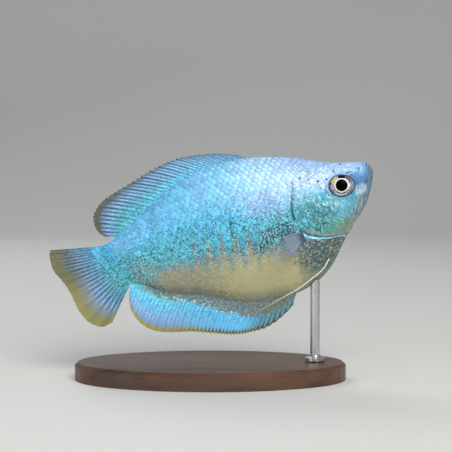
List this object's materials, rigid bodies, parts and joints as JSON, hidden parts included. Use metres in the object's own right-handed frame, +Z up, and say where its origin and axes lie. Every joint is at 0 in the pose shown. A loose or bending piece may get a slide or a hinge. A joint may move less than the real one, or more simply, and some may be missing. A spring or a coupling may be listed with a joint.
{
  "type": "dwarf gourami model",
  "caption": "Life-size still model of a dwarf gourami swimming nose up, held on a rod above an oval display base.",
  "frame": {"origin": "centre of the model's box at the underside of the display base", "axes": "+X towards the fish's head, +Y to the fish's left, +Z up"},
  "size_m": [0.0742, 0.034, 0.0515],
  "materials": {
    "skin": "iridescent scaled skin, wet gloss",
    "gill_cover_skin": "iridescent cheek plates, wet gloss",
    "blue_fin": "thin rayed fin, satin",
    "clear_fin": "clear rayed fin, satin",
    "eye": "polished glass eye with a silver iris",
    "stand_wood": "dark satin wood",
    "stand_steel": "brushed"
  },
  "bodies": {
    "root": {"head": "skin", "lower_jaw": "skin", "trunk": "skin", "tail_stem": "skin", "gill_cover_left": "gill_cover_skin", "gill_cover_right": "gill_cover_skin", "eye_left": "eye", "eye_right": "eye", "dorsal_fin": "blue_fin", "anal_fin": "blue_fin", "tail_fin": "blue_fin", "pectoral_fin_left": "clear_fin", "pectoral_fin_right": "clear_fin", "pelvic_feeler_left": "clear_fin", "pelvic_feeler_right": "clear_fin", "stand_base": "stand_wood", "stand_rod": "stand_steel"}
  },
  "joints": []
}
